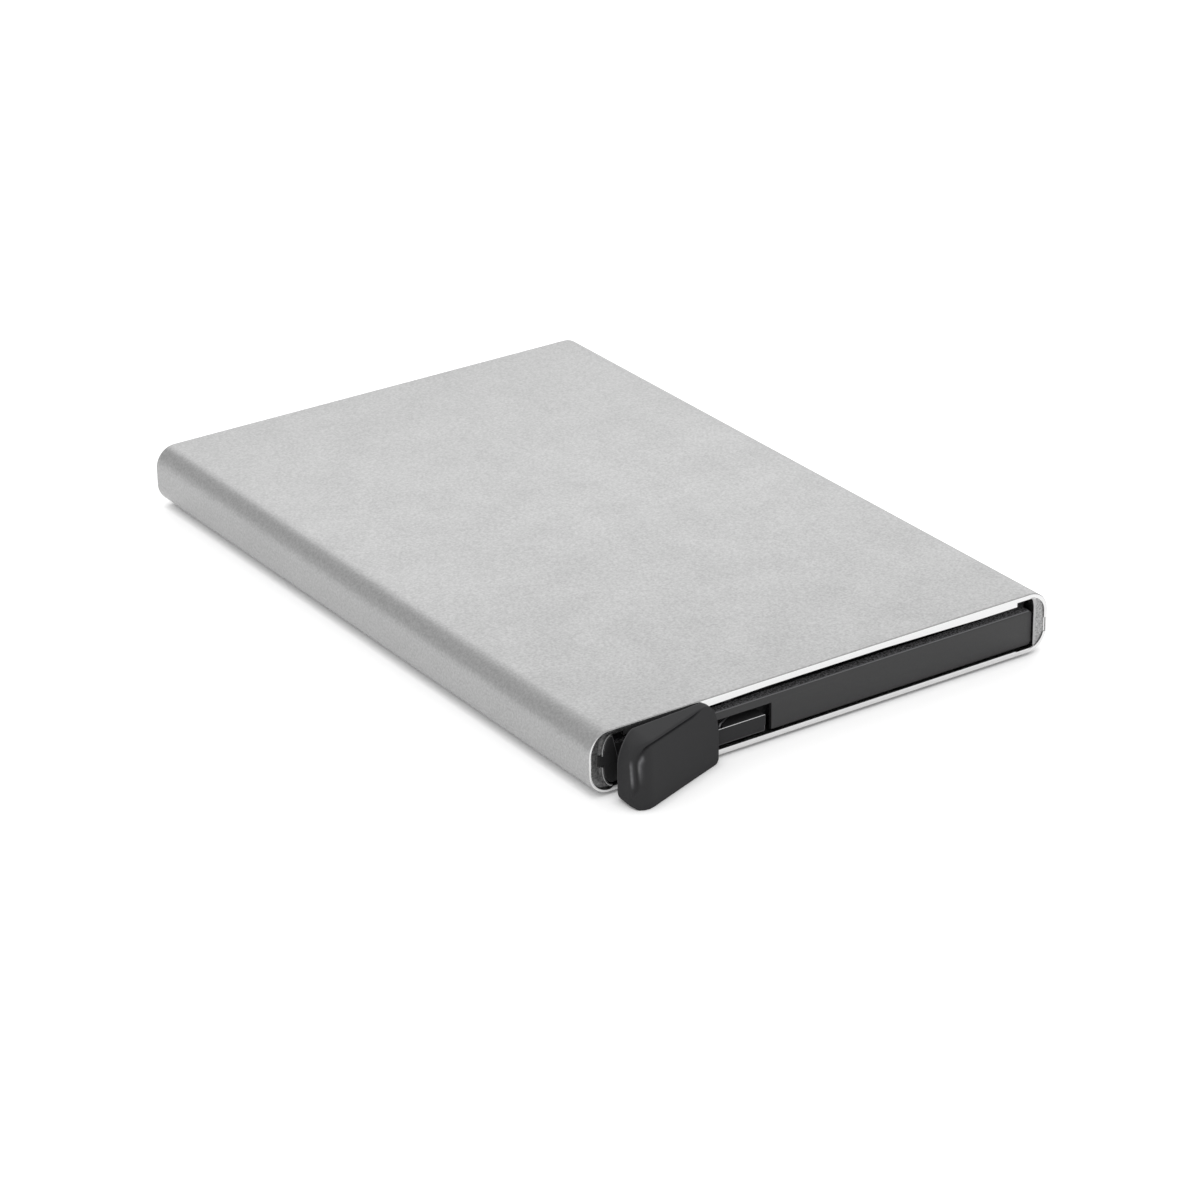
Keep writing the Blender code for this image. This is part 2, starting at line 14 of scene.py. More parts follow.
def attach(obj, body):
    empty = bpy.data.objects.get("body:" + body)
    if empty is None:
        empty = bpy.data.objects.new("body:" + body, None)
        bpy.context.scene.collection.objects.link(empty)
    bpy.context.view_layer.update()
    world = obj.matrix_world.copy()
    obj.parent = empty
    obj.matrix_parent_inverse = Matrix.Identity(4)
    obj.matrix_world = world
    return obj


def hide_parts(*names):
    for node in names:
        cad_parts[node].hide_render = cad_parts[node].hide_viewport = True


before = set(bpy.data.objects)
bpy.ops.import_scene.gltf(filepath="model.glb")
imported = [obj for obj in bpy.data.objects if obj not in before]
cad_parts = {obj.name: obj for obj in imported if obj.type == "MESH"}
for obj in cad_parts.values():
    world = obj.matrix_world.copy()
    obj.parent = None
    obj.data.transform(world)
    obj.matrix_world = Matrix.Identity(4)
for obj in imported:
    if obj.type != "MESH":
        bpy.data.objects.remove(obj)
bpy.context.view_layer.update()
MM = 0.001
QUARTER_TURN = math.pi / 2


def mm(*values):
    """Lengths in metres, from millimetres."""
    return tuple(value * MM for value in values)


# Sleeve
# One aluminium extrusion, sawn to length.  It is bead-blasted and clear anodised outside, and
# both ends are machined afterwards, which leaves a bright bare edge all round.  A thin web
# inside each side wall holds the moulding at the lever's end.

sleeve_width = 63.0 * MM
sleeve_height = 7.4 * MM
sleeve_corner = 2.65 * MM
front_end = -47.5 * MM
mouth_end = 47.5 * MM
side_wall = 0.7 * MM
edge_wall = 0.6 * MM
bottom_wall = 0.7 * MM
top_wall = 0.82 * MM
top_land_wall = 1.1 * MM
land_edge = 27.0 * MM
land_ramp = mm(8.0, 22.0)  # from the thinner middle to the full land
groove_height = 1.6 * MM
groove_depth = 0.28 * MM
sleeve_edge_break = 0.14 * MM
inner_side = sleeve_width / 2 - side_wall
middle_height = sleeve_height / 2
corner_steps = 20
overrun = 0.5 * MM
groove_start = -45.0 * MM
web_back = -44.6 * MM
web_thickness = 0.3 * MM
web_overlap = 0.1 * MM
left_web_top = mm(-28.4, 4.6)
left_web_foot = mm(-28.4, 2.9)
left_web_top_radii = mm(1.38, 2.25)
left_web_foot_radii = mm(1.38, 2.35)
right_web_side = 29.5 * MM
right_web_flare = mm(0.55, 1.45)
web_heights = mm(0.55, 6.85)
web_slot = mm(3.16, 4.48)
slot_tip = -30.1 * MM
end_nick = mm(30.85, 31.22, 2.15, 3.9)  # its sides and its heights
end_nick_depth = 0.1 * MM
chamber_stop_back = front_end + 1.1 * MM
stop_step = 0.02 * MM
# of the two webs and the recesses beside them, the left one first
web_fronts = (front_end + 0.05 * MM, front_end + 0.07 * MM)
web_edges = (0.11 * MM, 0.0)
chamber_floors = (front_end + 0.45 * MM, front_end + 0.16 * MM)
chamber_rims = mm(0.33, 0.5)


def linear_colour(code):
    """The linear colour that a shader reads, from an sRGB hex value."""
    channels = [int(code[place : place + 2], 16) / 255 for place in (1, 3, 5)]
    return [c / 12.92 if c <= 0.04045 else ((c + 0.055) / 1.055) ** 2.4 for c in channels] + [1.0]


def add_node(tree, kind, settings=None, links=None):
    """Adds a node.  Settings are its options or its inputs' values, and links feed its inputs."""
    node = tree.nodes.new(kind)
    for name, value in (settings or {}).items():
        if isinstance(name, int) or name in node.inputs:
            node.inputs[name].default_value = value
        else:
            setattr(node, name, value)
    for name, output in (links or {}).items():
        tree.links.new(output, node.inputs[name])
    return node


def new_material(name, colour, roughness, **values):
    """A material with one Principled shader, whose even values are set on its own sockets."""
    made = bpy.data.materials.new(name)
    made.use_nodes = True
    shader = made.node_tree.nodes["Principled BSDF"]
    values.update(Base_Color=linear_colour(colour), Roughness=roughness)
    for socket, value in values.items():
        shader.inputs[socket.replace("_", " ")].default_value = value
    return made, made.node_tree, shader


def grain_texture(tree, grain, stretch=(1.0, 1.0, 1.0), detail=2.0):
    """Noise whose lumps are one grain across, in the piece's own space."""
    place = add_node(tree, "ShaderNodeTexCoord").outputs["Object"]
    settings = {"Scale": [1 / (grain * s) for s in stretch]}
    scaled = add_node(tree, "ShaderNodeMapping", settings, {"Vector": place})
    settings = {"Scale": 1.0, "Detail": detail}
    return add_node(tree, "ShaderNodeTexNoise", settings, {"Vector": scaled.outputs["Vector"]})


def spread(tree, texture, low, high, start=0.3, end=0.7):
    """Spreads a noise texture's value over a range."""
    settings = {"From Min": start, "From Max": end, "To Min": low, "To Max": high}
    value = add_node(tree, "ShaderNodeMapRange", settings, {"Value": texture.outputs["Fac"]})
    return value.outputs["Result"]


def blend_tones(tree, low, high, share):
    """Gives the material a colour between two, by a share that varies over the surface."""
    settings = {"data_type": "RGBA", "A": linear_colour(low), "B": linear_colour(high)}
    tone = add_node(tree, "ShaderNodeMix", settings, {"Factor": share})
    tree.links.new(tone.outputs["Result"], tree.nodes["Principled BSDF"].inputs["Base Color"])


def vary_roughness(tree, shader, texture, low, high):
    """Lets the roughness change over the surface with a texture."""
    tree.links.new(spread(tree, texture, low, high), shader.inputs["Roughness"])


def add_bump(tree, shader, texture, depth, strength=1.0):
    """Raises and sinks the surface's shading by a height texture."""
    settings = {"Strength": strength, "Distance": depth}
    bump = add_node(tree, "ShaderNodeBump", settings, {"Height": texture.outputs["Fac"]})
    tree.links.new(bump.outputs["Normal"], shader.inputs["Normal"])


def arc(centre, radii, start, end, steps):
    """Points along an arc of an ellipse, both ends included."""
    points = []
    for step in range(steps + 1):
        angle = start + (end - start) * step / steps
        across = centre[0] + radii[0] * math.cos(angle)
        points.append((across, centre[1] + radii[1] * math.sin(angle)))
    return points


def mirrored(half):
    """Closes an outline drawn on the +X side with its mirror image."""
    return half + [(-across, along) for across, along in reversed(half)]


def add_piece(name, mesh):
    piece = bpy.data.objects.new(name, mesh)
    bpy.context.scene.collection.objects.link(piece)
    return piece


def finish_piece(name, work):
    """Turns the faces that were worked on into a piece."""
    mesh = bpy.data.meshes.new(name)
    work.to_mesh(mesh)
    work.free()
    return add_piece(name, mesh)


def smooth(piece, angle=30.0):
    piece.data.shade_smooth()
    piece.data.set_sharp_from_angle(angle=math.radians(angle))
    return piece


def bake_modifiers(piece):
    """Turns a curve, or a mesh with modifiers, into a plain closed mesh in the model's frame."""
    bpy.context.view_layer.update()
    evaluated = piece.evaluated_get(bpy.context.evaluated_depsgraph_get())
    mesh = bpy.data.meshes.new_from_object(evaluated)
    mesh.transform(piece.matrix_world)
    name = piece.name
    bpy.data.objects.remove(piece, do_unlink=True)
    work = bmesh.new()
    work.from_mesh(mesh)
    bmesh.ops.remove_doubles(work, verts=work.verts, dist=0.002 * MM)
    bmesh.ops.recalc_face_normals(work, faces=work.faces)
    work.to_mesh(mesh)
    work.free()
    return add_piece(name, mesh)


def draw_through(curve, points, closed):
    """Adds straight stretches through the points to a curve."""
    spline = curve.splines.new("POLY")
    spline.points.add(len(points) - 1)
    for made, place in zip(spline.points, points):
        made.co = (*place, 1)
    spline.use_cyclic_u = closed


def drawn_plate(name, outline, thickness, place, edge=0.0, edge_steps=1):
    """A flat curve through a closed outline, filled, thickened and softened at its rims."""
    curve = bpy.data.curves.new(name, "CURVE")
    curve.dimensions = "2D"
    curve.fill_mode = "BOTH"
    curve.extrude = thickness / 2 - edge
    curve.bevel_depth = edge
    curve.bevel_resolution = edge_steps
    curve.offset = -edge
    draw_through(curve, [(*point, 0) for point in outline], True)
    piece = add_piece(name, curve)
    piece.matrix_world = place
    return bake_modifiers(piece)


def bar_along_y(name, outline, start, end, edge=0.0, edge_steps=1):
    """A bar with its section drawn in X and Z."""
    place = Matrix.Translation((0, (start + end) / 2, 0)) @ Matrix.Rotation(QUARTER_TURN, 4, "X")
    return drawn_plate(name, outline, end - start, place, edge, edge_steps)


def block(name, across, along, up, edge=0.0):
    """A block from its two ends on each axis, with softened edges where a width is given."""
    ends = [sorted(pair) for pair in (across, along, up)]
    work = bmesh.new()
    place = Matrix.Translation([(low + high) / 2 for low, high in ends])
    place @= Matrix.Diagonal([high - low for low, high in ends] + [1])
    bmesh.ops.create_cube(work, size=1, matrix=place)
    if edge:
        bmesh.ops.bevel(
            work, geom=work.edges[:], offset=edge, segments=2, profile=0.5, affect="EDGES"
        )
    return finish_piece(name, work)


def combine(target, other, operation):
    """Joins a body to the target, or cuts it away, and then removes it."""
    change = target.modifiers.new(operation.lower(), "BOOLEAN")
    change.operation = operation
    change.solver = "EXACT"
    change.object = other
    result = bake_modifiers(target)
    bpy.data.objects.remove(other, do_unlink=True)
    return result


def cut(target, tool):
    """Cuts one body out of another."""
    return combine(target, tool, "DIFFERENCE")


def join(target, other):
    """Joins one body to another."""
    return combine(target, other, "UNION")


def sleeve_outlines():
    """The sleeve's outer outline and its bore's, with the lands that carry the cards."""
    side = sleeve_width / 2 - sleeve_corner
    radii = (sleeve_corner, sleeve_corner)
    high = sleeve_height - sleeve_corner
    outer = arc((side, sleeve_corner), radii, -QUARTER_TURN, 0, corner_steps)
    outer += arc((side, high), radii, 0, QUARTER_TURN, corner_steps)
    inner_radii = (sleeve_corner - side_wall, sleeve_corner - edge_wall)
    inner = [(land_edge, bottom_wall), (land_edge, edge_wall)]
    inner += arc((side, sleeve_corner), inner_radii, -QUARTER_TURN, 0, corner_steps)
    inner += arc((side, high), inner_radii, 0, QUARTER_TURN, corner_steps)
    inner += [(land_edge, sleeve_height - edge_wall), (land_edge, sleeve_height - top_land_wall)]
    inner += [(land_ramp[1], sleeve_height - top_land_wall)]
    inner += [(land_ramp[0], sleeve_height - top_wall)]
    return [mirrored(outer), mirrored(inner)]


def left_web_curve(inset):
    """The bowed left web from top to foot, with its outer face moved inwards."""
    high = [radius - inset for radius in left_web_top_radii]
    low = [radius - inset for radius in left_web_foot_radii]
    curve = arc(left_web_top, high, QUARTER_TURN, 2 * QUARTER_TURN, 16)
    return curve + arc(left_web_foot, low, 2 * QUARTER_TURN, 3 * QUARTER_TURN, 16)


def web_outlines():
    """The left web, bowed, and the right web, straight with a flare at its top."""
    left = left_web_curve(0) + list(reversed(left_web_curve(web_thickness)))
    outer = right_web_side + web_thickness
    flare = (right_web_side - right_web_flare[0], web_heights[1] - right_web_flare[1])
    right = [(outer, web_heights[0]), (outer, web_heights[1])]
    right += arc(flare, right_web_flare, QUARTER_TURN, 0, 8)
    right += [(right_web_side, web_heights[0])]
    return left, right


def chamber_outline(side, rim):
    """The recess between a side wall and its web, cut into both and a rim short of the skin."""
    if side < 0:
        inner = [(across + web_overlap, up) for across, up in left_web_curve(0)]
    else:
        web_middle = right_web_side + web_thickness / 2
        raised = rim - side_wall / 2
        inner = [(-web_middle, web_heights[1] - raised), (-web_middle, web_heights[0] + raised)]
    centre = (-sleeve_width / 2 + sleeve_corner, sleeve_corner)
    radius = sleeve_corner - rim
    low = arc(centre, (radius, radius), 3 * QUARTER_TURN, 2 * QUARTER_TURN, corner_steps)
    centre = (centre[0], sleeve_height - sleeve_corner)
    high = arc(centre, (radius, radius), 2 * QUARTER_TURN, QUARTER_TURN, corner_steps)
    return [(-side * across, up) for across, up in inner + low + high]


def about_middle(height):
    """The two ends of a height that is centred on the sleeve's."""
    return (middle_height - height / 2, middle_height + height / 2)


def distance_to_outer_skin(across, up):
    """How far a point of the section lies from the sleeve's outer surface."""
    x = abs(across) - (sleeve_width / 2 - sleeve_corner)
    z = abs(up - middle_height) - (sleeve_height / 2 - sleeve_corner)
    outside = math.hypot(max(x, 0), max(z, 0))
    return abs(outside + min(max(x, z), 0) - sleeve_corner)


outer_outline, bore_outline = sleeve_outlines()
sleeve = bar_along_y("sleeve_shell", outer_outline, front_end, mouth_end, sleeve_edge_break, 2)
hollow = bar_along_y("hollow", bore_outline, front_end - overrun, mouth_end + overrun)
sleeve = cut(sleeve, hollow)
for side in (-1, 1):
    across = (side * (inner_side - overrun), side * (inner_side + groove_depth))
    along = (groove_start, mouth_end + overrun)
    groove = block("rail_groove", across, along, about_middle(groove_height))
    sleeve = cut(sleeve, groove)
# the wall's end is sunk beside each web, and a stop closes the space between them
for side, web_outline, web_front, web_edge, rim, sunk_to in zip(
    (-1, 1), web_outlines(), web_fronts, web_edges, chamber_rims, chamber_floors
):
    sunk = bar_along_y("counterbore", chamber_outline(side, rim), front_end - overrun, sunk_to)
    sleeve = cut(sleeve, sunk)
    web = bar_along_y("web", web_outline, web_front, web_back, web_edge)
    sleeve = join(sleeve, web)
    stop_outline = chamber_outline(side, side_wall / 2)
    stop = bar_along_y("chamber_stop", stop_outline, sunk_to - stop_step, chamber_stop_back)
    sleeve = join(sleeve, stop)
slot_inner = left_web_top[0] - left_web_top_radii[0] + web_thickness + web_overlap
slot = block("slot", (slot_tip, slot_inner), (front_end - overrun, web_back + overrun), web_slot)
sleeve = cut(sleeve, slot)
nick_ends = (front_end - overrun, front_end + end_nick_depth)
nick = block("end_nick", (end_nick[0] - overrun, end_nick[1]), nick_ends, end_nick[2:])
sleeve = cut(sleeve, nick)
smooth(sleeve)

# Bead-blasted, clear anodised aluminium: an even soft sheen with a fine grain.  Real blast
# grain is about 0.05 mm; it is drawn five times as coarse so that it shows.
blast_grain = 0.26 * MM
name = "anodised_aluminium_bead_blasted"
blasted, tree, shader = new_material(name, "#ACACAC", 0.45, Metallic=1.0)
grain = grain_texture(tree, blast_grain, detail=3.0)
blend_tones(tree, "#9F9F9F", "#B5B5B5", spread(tree, grain, 0.0, 1.0))
cloud = grain_texture(tree, 6.0 * MM, detail=1.0)
vary_roughness(tree, shader, cloud, 0.43, 0.47)
add_bump(tree, shader, grain, 0.005 * MM, 0.6)

# Bare aluminium cut by a fly cutter: almost a mirror, with faint marks of the tool.
name = "aluminium_machined_bright"
cut_edge, tree, shader = new_material(name, "#DEDEDE", 0.16, Metallic=1.0)
marks = grain_texture(tree, 0.12 * MM, stretch=(0.3, 1.0, 2.5))
vary_roughness(tree, shader, marks, 0.12, 0.2)
add_bump(tree, shader, marks, 0.0015 * MM, 0.5)

# The extrusion's inside keeps the die's fine lines under the anodising, and some blast grain
# has reached its ends.
name = "anodised_aluminium_as_drawn"
bore, tree, shader = new_material(name, "#969696", 0.34, Metallic=1.0)
speckle = grain_texture(tree, blast_grain)
blend_tones(tree, "#767676", "#B2B2B2", spread(tree, speckle, 0.0, 1.0))
lines = grain_texture(tree, 0.15 * MM, stretch=(1.0, 60.0, 1.0))
vary_roughness(tree, shader, lines, 0.28, 0.4)
add_bump(tree, shader, lines, 0.002 * MM, 0.5)

# the ends are cut bright, but not their broken edges, the recesses or the right web's end
cutter_reach = 1.4 * sleeve_edge_break
recess_depth = 0.1 * MM
skin_depth = 0.04 * MM
front_slack = 0.005 * MM
faces_end, square_to_end = 0.25, 0.93
for finish in (blasted, cut_edge, bore):
    sleeve.data.materials.append(finish)
for face in sleeve.data.polygons:
    centre, facing = face.center, abs(face.normal.y)
    depth = distance_to_outer_skin(centre.x, centre.z)
    at_end = abs(centre.y) > mouth_end - cutter_reach and facing > faces_end
    recessed = abs(centre.y) < mouth_end - recess_depth and facing > square_to_end
    broken_edge = at_end and depth < sleeve_edge_break and facing < square_to_end
    right_web = abs(centre.y - web_fronts[1]) < front_slack
    if depth < skin_depth or broken_edge or right_web:
        face.material_index = 0
    else:
        face.material_index = 1 if at_end and not recessed else 2
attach(sleeve, "case")
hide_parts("sleeve")

# Base frame
# One black ABS moulding pushed into the sleeve's end.  It is the front plate with the lever's
# window, a block at each side that the cards stand on, and a thin deck that joins them.

plate_front = front_end + 0.25 * MM
plate_back = plate_front + 1.35 * MM
plate_side = 29.4 * MM
plate_low = 0.9 * MM
plate_top = 5.25 * MM
plate_left_radii = mm(1.2, 1.9)
plate_chamfer = 0.4 * MM
end_boss_edge = -28.15 * MM
end_recess = 0.35 * MM
window = mm(-21.0, -7.25)
window_top = 4.23 * MM
pivot = mm(-11.0, -43.4)
swing_radius = 5.04 * MM
block_side = 29.1 * MM
blocks = (mm(-29.1, -21.5), mm(24.2, 29.1))
block_heights = mm(1.6, 6.1)
card_ledge = -38.4 * MM
deck_heights = mm(5.5, 6.0)
deck_ends = mm(-45.6, -38.7)
tongue_tip = 30.88 * MM
tongue_ends = mm(-44.0, -39.5)
tongue_height = 1.1 * MM
pin_hole_radius = 0.95 * MM
post = mm(-15.6, -42.2, 0.5, 3.3)  # its place, radius and lower end
moulded_edge = 0.12 * MM
join_depth = 0.2 * MM
boss_gap = 0.03 * MM
slot_tongue_proud = 0.05 * MM
post_edge = 0.1 * MM
boss_right = (mm(-27.4, 0.9), mm(-27.55, 3.8), mm(-28.2, 6.5))


def plate_in_plan(name, outline, bottom, top, edge=0.0, edge_steps=1):
    """A plate with its outline drawn from above."""
    place = Matrix.Translation((0, 0, (bottom + top) / 2))
    return drawn_plate(name, outline, top - bottom, place, edge, edge_steps)


def rod(name, centre, radius, bottom, top, sides=48, edge=0.0):
    """An upright round bar, with its rims softened."""
    outline = arc(centre, (radius, radius), 0, 4 * QUARTER_TURN, sides)[:-1]
    return plate_in_plan(name, outline, bottom, top, edge)


def soften(piece, width, angle=40.0, segments=2):
    """Rounds the piece's sharp edges, as a mould does."""
    bevel = piece.modifiers.new("soft_edges", "BEVEL")
    bevel.width = width
    bevel.segments = segments
    bevel.limit_method = "ANGLE"
    bevel.angle_limit = math.radians(angle)
    bevel.use_clamp_overlap = True
    return bake_modifiers(piece)


def plate_outline():
    """The plate's face: well rounded at the lever's end, with small chamfers at the other."""
    across, up = plate_left_radii
    left = across - plate_side
    right = plate_side - plate_chamfer
    lower = arc((left, plate_low + up), plate_left_radii, 2 * QUARTER_TURN, 3 * QUARTER_TURN, 10)
    upper = arc((left, plate_top - up), plate_left_radii, QUARTER_TURN, 2 * QUARTER_TURN, 10)
    corners = [(right, plate_low), (plate_side, plate_low + plate_chamfer)]
    corners += [(plate_side, plate_top - plate_chamfer), (right, plate_top)]
    return lower + corners + upper


base = bar_along_y("base_moulding", plate_outline(), plate_front, plate_back, moulded_edge)
low = plate_low - overrun
through = (plate_front - overrun, plate_back + overrun)
opening = block("window", window, through, (low, window_top))
base = cut(base, opening)
swing_relief = rod("swing_relief", pivot, swing_radius, low, window_top, 96)
base = cut(base, swing_relief)
recess = block(
    "lever_side_recess",
    (end_boss_edge, window[0] + overrun),
    (plate_front - overrun, plate_front + end_recess),
    (low, plate_top + overrun),
)
base = cut(base, recess)
boss_outline = left_web_curve(web_thickness + boss_gap) + list(boss_right)
end_boss = bar_along_y("end_boss", boss_outline, plate_front, plate_back, moulded_edge)
base = join(base, end_boss)
slot_tongue = block(
    "slot_tongue",
    (slot_tip + boss_gap, end_boss_edge - overrun),
    (plate_front - slot_tongue_proud, plate_back - boss_gap),
    (web_slot[0] + boss_gap, web_slot[1] - boss_gap),
)
base = join(base, slot_tongue)
deck_side = block_side - join_depth
along = (plate_back - join_depth, card_ledge)
for side, across in zip((-1, 1), blocks):
    base = join(base, block("side_block", across, along, block_heights))
    across = (side * deck_side, side * tongue_tip)
    tongue = block("tongue", across, tongue_ends, about_middle(tongue_height))
    base = join(base, tongue)
deck = block("deck", (-deck_side, deck_side), deck_ends, deck_heights)
base = join(base, deck)
low, high = deck_heights[0] - overrun, deck_heights[1] + overrun
base = cut(base, rod("pin_hole", pivot, pin_hole_radius, low, high))
base = soften(base, moulded_edge)
post_top = deck_heights[0] + join_depth
spring_post = rod("spring_post", post[:2], post[2], post[3], post_top, 24, post_edge)
base = join(base, spring_post)
smooth(base, 35)


def moulded_plastic(name, colour, roughness, texture=0.14 * MM, depth=0.003 * MM, gloss=0.42):
    """Black plastic from a spark-eroded mould: satin, with a fine even texture."""
    values = {"IOR": 1.53, "Specular_IOR_Level": gloss}
    made, tree, shader = new_material(name, colour, roughness, **values)
    grain = grain_texture(tree, texture)
    vary_roughness(tree, shader, grain, roughness - 0.04, roughness + 0.04)
    add_bump(tree, shader, grain, depth, 0.5)
    return made


# The mouldings' faces are an even satin black.
base.data.materials.append(moulded_plastic("abs_black_moulded", "#262627", 0.46))
# The plate's upper front edge and the boss's right edge carry a painted highlight, paler and
# smoother than the faces.
base.data.materials.append(moulded_plastic("abs_black_painted_edge_highlight", "#6A6A6C", 0.36))
# The ledge behind the plate's upper edge is painted lighter in grey specks, as painted light where
# it lies in shade under the top wall.
painted_ledge = moulded_plastic("abs_black_painted_light_ledge", "#5A5A5C", 0.8, 0.16 * MM, 0.02 * MM)
tree = painted_ledge.node_tree
ledge_specks = grain_texture(tree, 0.22 * MM)
blend_tones(tree, "#2E2E2F", "#7C7C7E", spread(tree, ledge_specks, 0.0, 1.0, 0.4, 0.6))
base.data.materials.append(painted_ledge)
edge_zone = 0.2 * MM
boss_edge_zone = 0.8 * MM
ledge_zone = 0.1 * MM
flat, level, turned_right = 0.96, 0.9, 0.3


def on_slope(face):
    """Whether a face belongs to a softened edge."""
    return max(abs(part) for part in face.normal) < flat


# the plate's upper front edge and the boss's right edge get the painted highlight, and the ledge
# behind the plate gets the painted light
for face in base.data.polygons:
    centre = face.center
    front_edge = on_slope(face) and centre.y < plate_front + edge_zone
    near_boss_edge = abs(centre.x - boss_right[1][0]) < boss_edge_zone
    boss_edge = near_boss_edge and face.normal.x > turned_right
    ledge = face.normal.z > level and abs(centre.z - plate_top) < ledge_zone
    if front_edge and (centre.z > plate_top - edge_zone or boss_edge):
        face.material_index = 1
    else:
        face.material_index = 2 if ledge else 0
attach(base, "case")
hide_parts("base_frame")

# Base cover
# A thin black ABS plate that closes the moulding from below and carries the pin's lower end.
# Its pegs are pressed up into the side blocks.  It comes from a duller mould than the frame.

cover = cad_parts["base_cover"]
cover.data.materials.clear()
cover.data.materials.append(moulded_plastic("abs_black_cover", "#242425", 0.5))

# Trigger lever
# One moulding in black glass-filled plastic.  The thumb head stands outside the sleeve, a flat
# neck runs in through the window, and the stepped arm beyond the hub lifts the cards.

head_back = front_end - 0.45 * MM
head_back_slope = math.tan(math.radians(3.9))
head_left = -29.08 * MM
head_right = -15.13 * MM
head_low = -0.3 * MM
head_high = 7.7 * MM
head_middle = (head_left + head_right) / 2
head_reach = 3.48 * MM
head_slant = math.radians(20.2)
front_corner = 1.73 * MM
shoulder_size = mm(2.34, 3.93)
shoulder_pull_shares = (0.4, 0.51)
foot_radius = 1.02 * MM
foot_right_radius = 0.7 * MM
top_right_radii = mm(2.82, 4.55)
facet_left = 0.35 * MM
facet_foot_left = 0.62 * MM
facet_top = 7.66 * MM
facet_corner_radii = mm(2.87, 2.75)
# the head's soft edges, from its free side to the window's side
back_rounds = mm(0.6, 0.42, 0.1)
front_rounds = mm(0.14, 0.08)
# how much painted highlight each ring carries, and at what heights it starts, is full, fades and
# ends
back_highlights = (0.4, 0.7, 0.8, 0.7, 0.3, 0)
outer_highlights = (0, 0.3, 0.85, 0.7, 0.1, 0, 0, 0, 0, 0, 0, 0)
inner_highlights = (0, 0, 0, 0, 0, 0, 0, 0.1, 0.7, 1.0, 0.5, 0.1)
outer_highlight_heights = mm(2.0, 3.0, 4.8, 5.8)
inner_highlight_heights = mm(2.4, 5.2, 6.6, 7.2)
neck_front = plate_front + 0.05 * MM
neck_low = 0.95 * MM
neck_underside = 1.6 * MM
neck_top = 3.0 * MM
neck_left = -20.6 * MM
neck_right = -8.0 * MM
lip_thickness = 0.6 * MM
lip_edge = 0.18 * MM
head_root = 0.5 * MM
head_root_depth = 0.3 * MM
hub_radius = 2.9 * MM
hub_steps = mm(0.01, 0.1)
hook_offset = mm(-2.9, -3.3)
hook_hole_radius = 0.45 * MM
hook_hole_depth = 1.05 * MM
arm_root = 2.2 * MM
arm_tip = 21.5 * MM
arm_step = 4.4 * MM
arm_heights = mm(1.6, 5.3)
arm_count = 5
arm_tip_radius = 1.8 * MM
arm_back = card_ledge - 0.6 * MM
arm_front = plate_back + 0.3 * MM
arm_draft = 0.06 * MM
arm_edge = 0.1 * MM
lever_edge = 0.14 * MM
thin_length = 5 * MM
groove_run_out = 2.5 * MM
groove_foot = mm(0.8, 2.0)
shoulder_steps = 20
side_rings = 9
facet_rings = 24
plain_round_steps = 7
# how quickly each effect grows as the outline turns towards the free side
left_gain, groove_gain, highlight_gain = 1.2, 1.6, 1.8

corner_share = math.tan((QUARTER_TURN - head_slant) / 2)
slant_rise = (head_left - head_middle) * math.tan(head_slant)
corner_centre = (
    head_left + front_corner,
    front_end - head_reach + slant_rise + front_corner / corner_share,
)
corner_turn = QUARTER_TURN + head_slant
corner_length = front_corner * corner_turn


def head_plan(along):
    """A place on the head's plan: up its outer side, round the corner and along the slanted front.

    Along is measured from where the corner starts.  Gives the point and the outward direction.
    """
    if along < 0:
        return Vector((head_left, corner_centre[1] - along)), Vector((-1, 0))
    angle = 2 * QUARTER_TURN + min(along, corner_length) / front_corner
    outward = Vector((math.cos(angle), math.sin(angle)))
    ahead = Vector((-outward.y, outward.x))
    point = Vector(corner_centre) + outward * front_corner + ahead * max(along - corner_length, 0)
    return point, outward


def line(start, end, steps):
    """Points from start up to, but not including, the end."""
    start, end = Vector(start), Vector(end)
    return [tuple(start.lerp(end, step / steps)) for step in range(steps)]


def back_of_head(across):
    """The head's back leans away from the sleeve's end towards its free side."""
    return head_back + head_back_slope * (across - head_right)


def head_outline(shoulder, foot_left, right, top, high_radii):
    """Closes a head outline round its shoulder's curve, from the top to the side and the foot."""
    foot = (foot_left + foot_radius, head_low + foot_radius)
    low_right = (right - foot_right_radius, head_low + foot_right_radius)
    high_right = (right - high_radii[0], top - high_radii[1])
    side = 2 * QUARTER_TURN
    # each stretch has a fixed number of steps, so that both outlines have the same points
    points = line((high_right[0], top), shoulder[0], 26) + shoulder[:-1]
    points += line(shoulder[-1], (foot_left, foot[1]), 12)
    points += arc(foot, (foot_radius, foot_radius), side, side + QUARTER_TURN, 10)[:-1]
    points += line((foot[0], head_low), (low_right[0], head_low), 22)
    points += arc(low_right, (foot_right_radius, foot_right_radius), -QUARTER_TURN, 0, 8)[:-1]
    points += line((right, low_right[1]), (right, high_right[1]), 8)
    return points + arc(high_right, high_radii, 0, QUARTER_TURN, 16)[:-1]


def head_back_outline():
    """The head's back as seen along the sleeve, which follows the sleeve's soft corner."""
    start = (head_left + shoulder_size[0], head_high)
    end = (head_left, head_high - shoulder_size[1])
    first_pull = (start[0] - shoulder_pull_shares[0] * shoulder_size[0], head_high)
    second_pull = (head_left, end[1] + shoulder_pull_shares[1] * shoulder_size[1])
    shoulder = []
    for step in range(shoulder_steps + 1):
        t = step / shoulder_steps
        weights = ((1 - t) ** 3, 3 * t * (1 - t) ** 2, 3 * t * t * (1 - t), t**3)
        pulls = list(zip(weights, (start, first_pull, second_pull, end)))
        shoulder.append(tuple(sum(w * point[axis] for w, point in pulls) for axis in range(2)))
    return head_outline(shoulder, head_left, head_right, head_high, top_right_radii)


